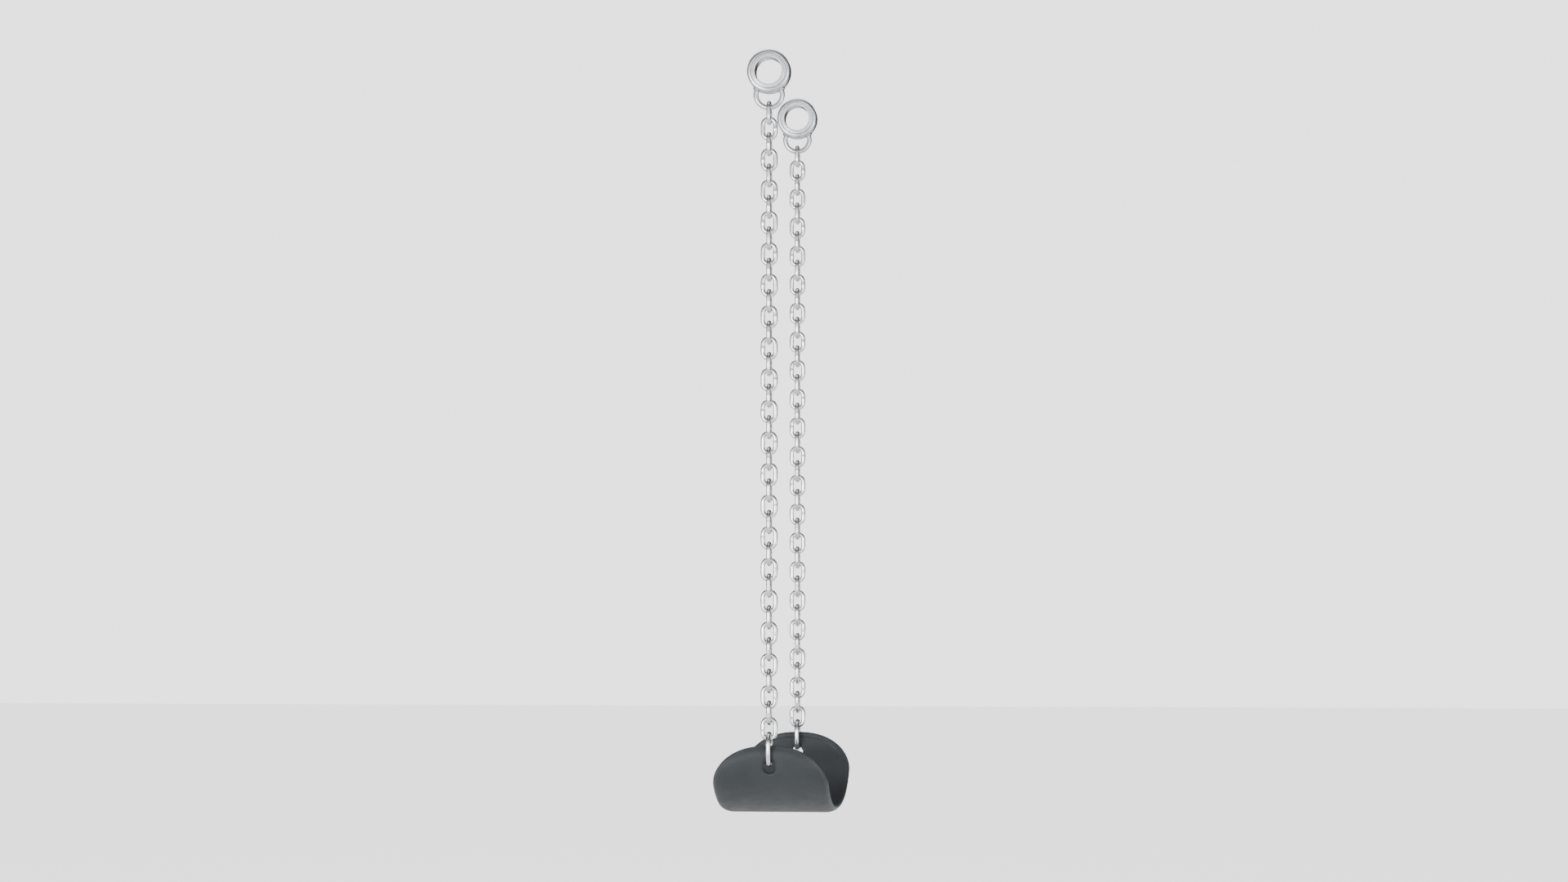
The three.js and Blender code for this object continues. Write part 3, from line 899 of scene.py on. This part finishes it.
def build_belt():
    """The two faces, joined round the edge and through the holes, and bent along the U."""
    sheet = bmesh.new()
    bmesh.ops.create_grid(sheet, x_segments=last_column, y_segments=ACROSS_STEPS, size=0.5)
    index_of = {}
    inside = []
    for vert in sheet.verts:
        column = round((vert.co.x + 0.5) * last_column)
        row = round((vert.co.y + 0.5) * ACROSS_STEPS)
        index_of[vert] = (column, row)
        depth = min(
            max(abs(column - centre), abs(row - middle_row)) for centre in hole_columns
        )
        if depth < HOLE_HALF_STEPS:
            inside.append(vert)
    for vert, (column, row) in index_of.items():
        along, across = round_the_hole(column, row, flat_place(column, row))
        vert.co = Vector((along, across, 0))
    bmesh.ops.delete(sheet, geom=inside, context="VERTS")
    edge_layer = sheet.verts.layers.float.new("painted_edge_highlight")
    copy = bmesh.ops.duplicate(sheet, geom=list(sheet.verts) + list(sheet.edges) + list(sheet.faces))
    upper = {item for item in copy["geom"] if isinstance(item, bmesh.types.BMVert)}
    bmesh.ops.reverse_faces(
        sheet, faces=[item for item in copy["geom"] if isinstance(item, bmesh.types.BMFace)])
    for vert in sheet.verts:
        inset = edge_distance(vert.co.x, vert.co.y)
        # Each point's share of the painted edge highlight, full at the rim and fading inwards.
        vert[edge_layer] = 1 - smooth(inset / EDGE_HIGHLIGHT_WIDTH)
        height = face_height(vert.co.x, vert.co.y, vert not in upper)
        slide = hole_slide(vert.co.x, vert.co.y, height)
        vert.co = Vector((vert.co.x + slide, vert.co.y, height))
    hole_edges = [
        edge for edge in sheet.edges if edge.is_boundary
        and all(edge_distance(vert.co.x, vert.co.y) > CLEAR_OF_EDGE for vert in edge.verts)
    ]
    for centre in hole_columns.values():
        ring = [edge for edge in hole_edges if abs(edge.verts[0].co.x - centre) < HOLE_REACH]
        bmesh.ops.bridge_loops(sheet, edges=ring)
    bmesh.ops.remove_doubles(sheet, verts=sheet.verts, dist=2e-6)
    for vert in sheet.verts:
        vert.co = bent(vert.co)
    open_edges = [edge for edge in sheet.edges if edge.is_boundary]
    print("belt faces", len(sheet.faces), "open edges", len(open_edges))
    return sheet


new_piece("moulded_belt", build_belt(), moulded_rubber, "belt", 180)

# %% [markdown]
# ## What the rubber hides
# The plates, the rivets and the webbing keep their CAD shapes, because the moulding hides them
# except for a sliver of plate inside each hole. They only need their finishes.

# %% Finishes for the hidden pieces
for node, piece in frame["nodes"].items():
    if body_of_node[node] != "seat" or node == "belt":
        continue
    finish = woven_webbing if node == "webbing_band" else insert_steel
    piece.data.materials.clear()
    piece.data.materials.append(finish)
print("hidden pieces finished")

# %% [markdown]
# ## Floor and light
# A pale floor lies a third of a metre under the belt, as under a real swing, and glows softly,
# so that the outer faces of the belt are lit from below.

# %% The floor
SEAT_CLEARANCE = 0.34
FLOOR_HALF = 14.0
floor_level = cad_box[0].z - SEAT_CLEARANCE


def floor_finish():
    """A pale mottled floor, which glows more strongly to the eye than to the swing."""
    material = bpy.data.materials.new("pale_floor")
    material.use_nodes = True
    tree = material.node_tree
    shader = tree.nodes["Principled BSDF"]
    where = tree.nodes.new("ShaderNodeTexCoord").outputs["Object"]
    mottled = ranged(tree, noise_at(tree, where, 3.0, 5.0, 0.6), 0.3, 0.7, 0.0, 1.0)
    pale = blended(tree, mottled, (0.8, 0.8, 0.8, 1), (0.83, 0.83, 0.83, 1))
    tree.links.new(pale, shader.inputs["Base Color"])
    shader.inputs["Roughness"].default_value = 0.85
    shader.inputs["Emission Color"].default_value = (1.0, 1.0, 1.0, 1)
    seen = tree.nodes.new("ShaderNodeLightPath").outputs["Is Camera Ray"]
    tree.links.new(ranged(tree, seen, 0.0, 1.0, 0.7, 1.8), shader.inputs["Emission Strength"])
    return material


floor_tool = bmesh.new()
bmesh.ops.create_grid(floor_tool, x_segments=1, y_segments=1, size=FLOOR_HALF)
bmesh.ops.translate(floor_tool, verts=floor_tool.verts, vec=(0, 0, floor_level))
floor_mesh = bpy.data.meshes.new("floor")
floor_tool.to_mesh(floor_mesh)
floor_tool.free()
floor_mesh.materials.append(floor_finish())
floor = bpy.data.objects.new("floor", floor_mesh)
bpy.context.scene.collection.objects.link(floor)

# %% [markdown]
# The key and the fill stand low, so the near wing keeps their light off the inside of the belt.
# The room is white on the near side and dark on the far side, which gives the bright bars their
# dark outlines.

# %% The lights
def soft_light(name, place, size, power):
    """A square area light that faces the middle of the swing."""
    data = bpy.data.lights.new(name, "AREA")
    data.size = size
    data.energy = power
    light = bpy.data.objects.new(name, data)
    light.location = place
    light.rotation_euler = (middle - Vector(place)).to_track_quat("-Z", "Y").to_euler()
    bpy.context.scene.collection.objects.link(light)


soft_light("key_light", (-4.2, 1.9, -1.0), 2.0, 190)
soft_light("fill_light", (-3.4, -3.0, -0.8), 2.0, 70)
soft_light("top_light", (0.6, 0.9, 2.6), 2.0, 18)


def studio_world():
    """A white backdrop for the eye, and for reflections a room that is dark on its far side."""
    studio = bpy.data.worlds.new("studio")
    studio.use_nodes = True
    tree = studio.node_tree
    background = tree.nodes["Background"]
    direction = tree.nodes.new("ShaderNodeTexCoord").outputs["Generated"]
    parts = tree.nodes.new("ShaderNodeSeparateXYZ")
    tree.links.new(direction, parts.inputs[0])
    across = ranged(tree, parts.outputs["X"], -0.62, 0.25, 1.0, 0.0)
    upward = ranged(tree, parts.outputs["Z"], 0.0, 0.6, 1.0, 0.1)
    overhead = ranged(tree, parts.outputs["Z"], 0.75, 0.95, 0.0, 0.4)
    bright = maths(tree, "MAXIMUM", maths(tree, "MULTIPLY", across, upward), overhead)
    lit_room = blended(tree, bright, (0.035, 0.037, 0.04, 1), (2.1, 2.12, 2.15, 1))
    seen = tree.nodes.new("ShaderNodeLightPath").outputs["Is Camera Ray"]
    tree.links.new(blended(tree, seen, lit_room, (2.6, 2.6, 2.62, 1)), background.inputs["Color"])
    background.inputs["Strength"].default_value = 1.0
    return studio


bpy.context.scene.world = studio_world()
print("lights and floor made")
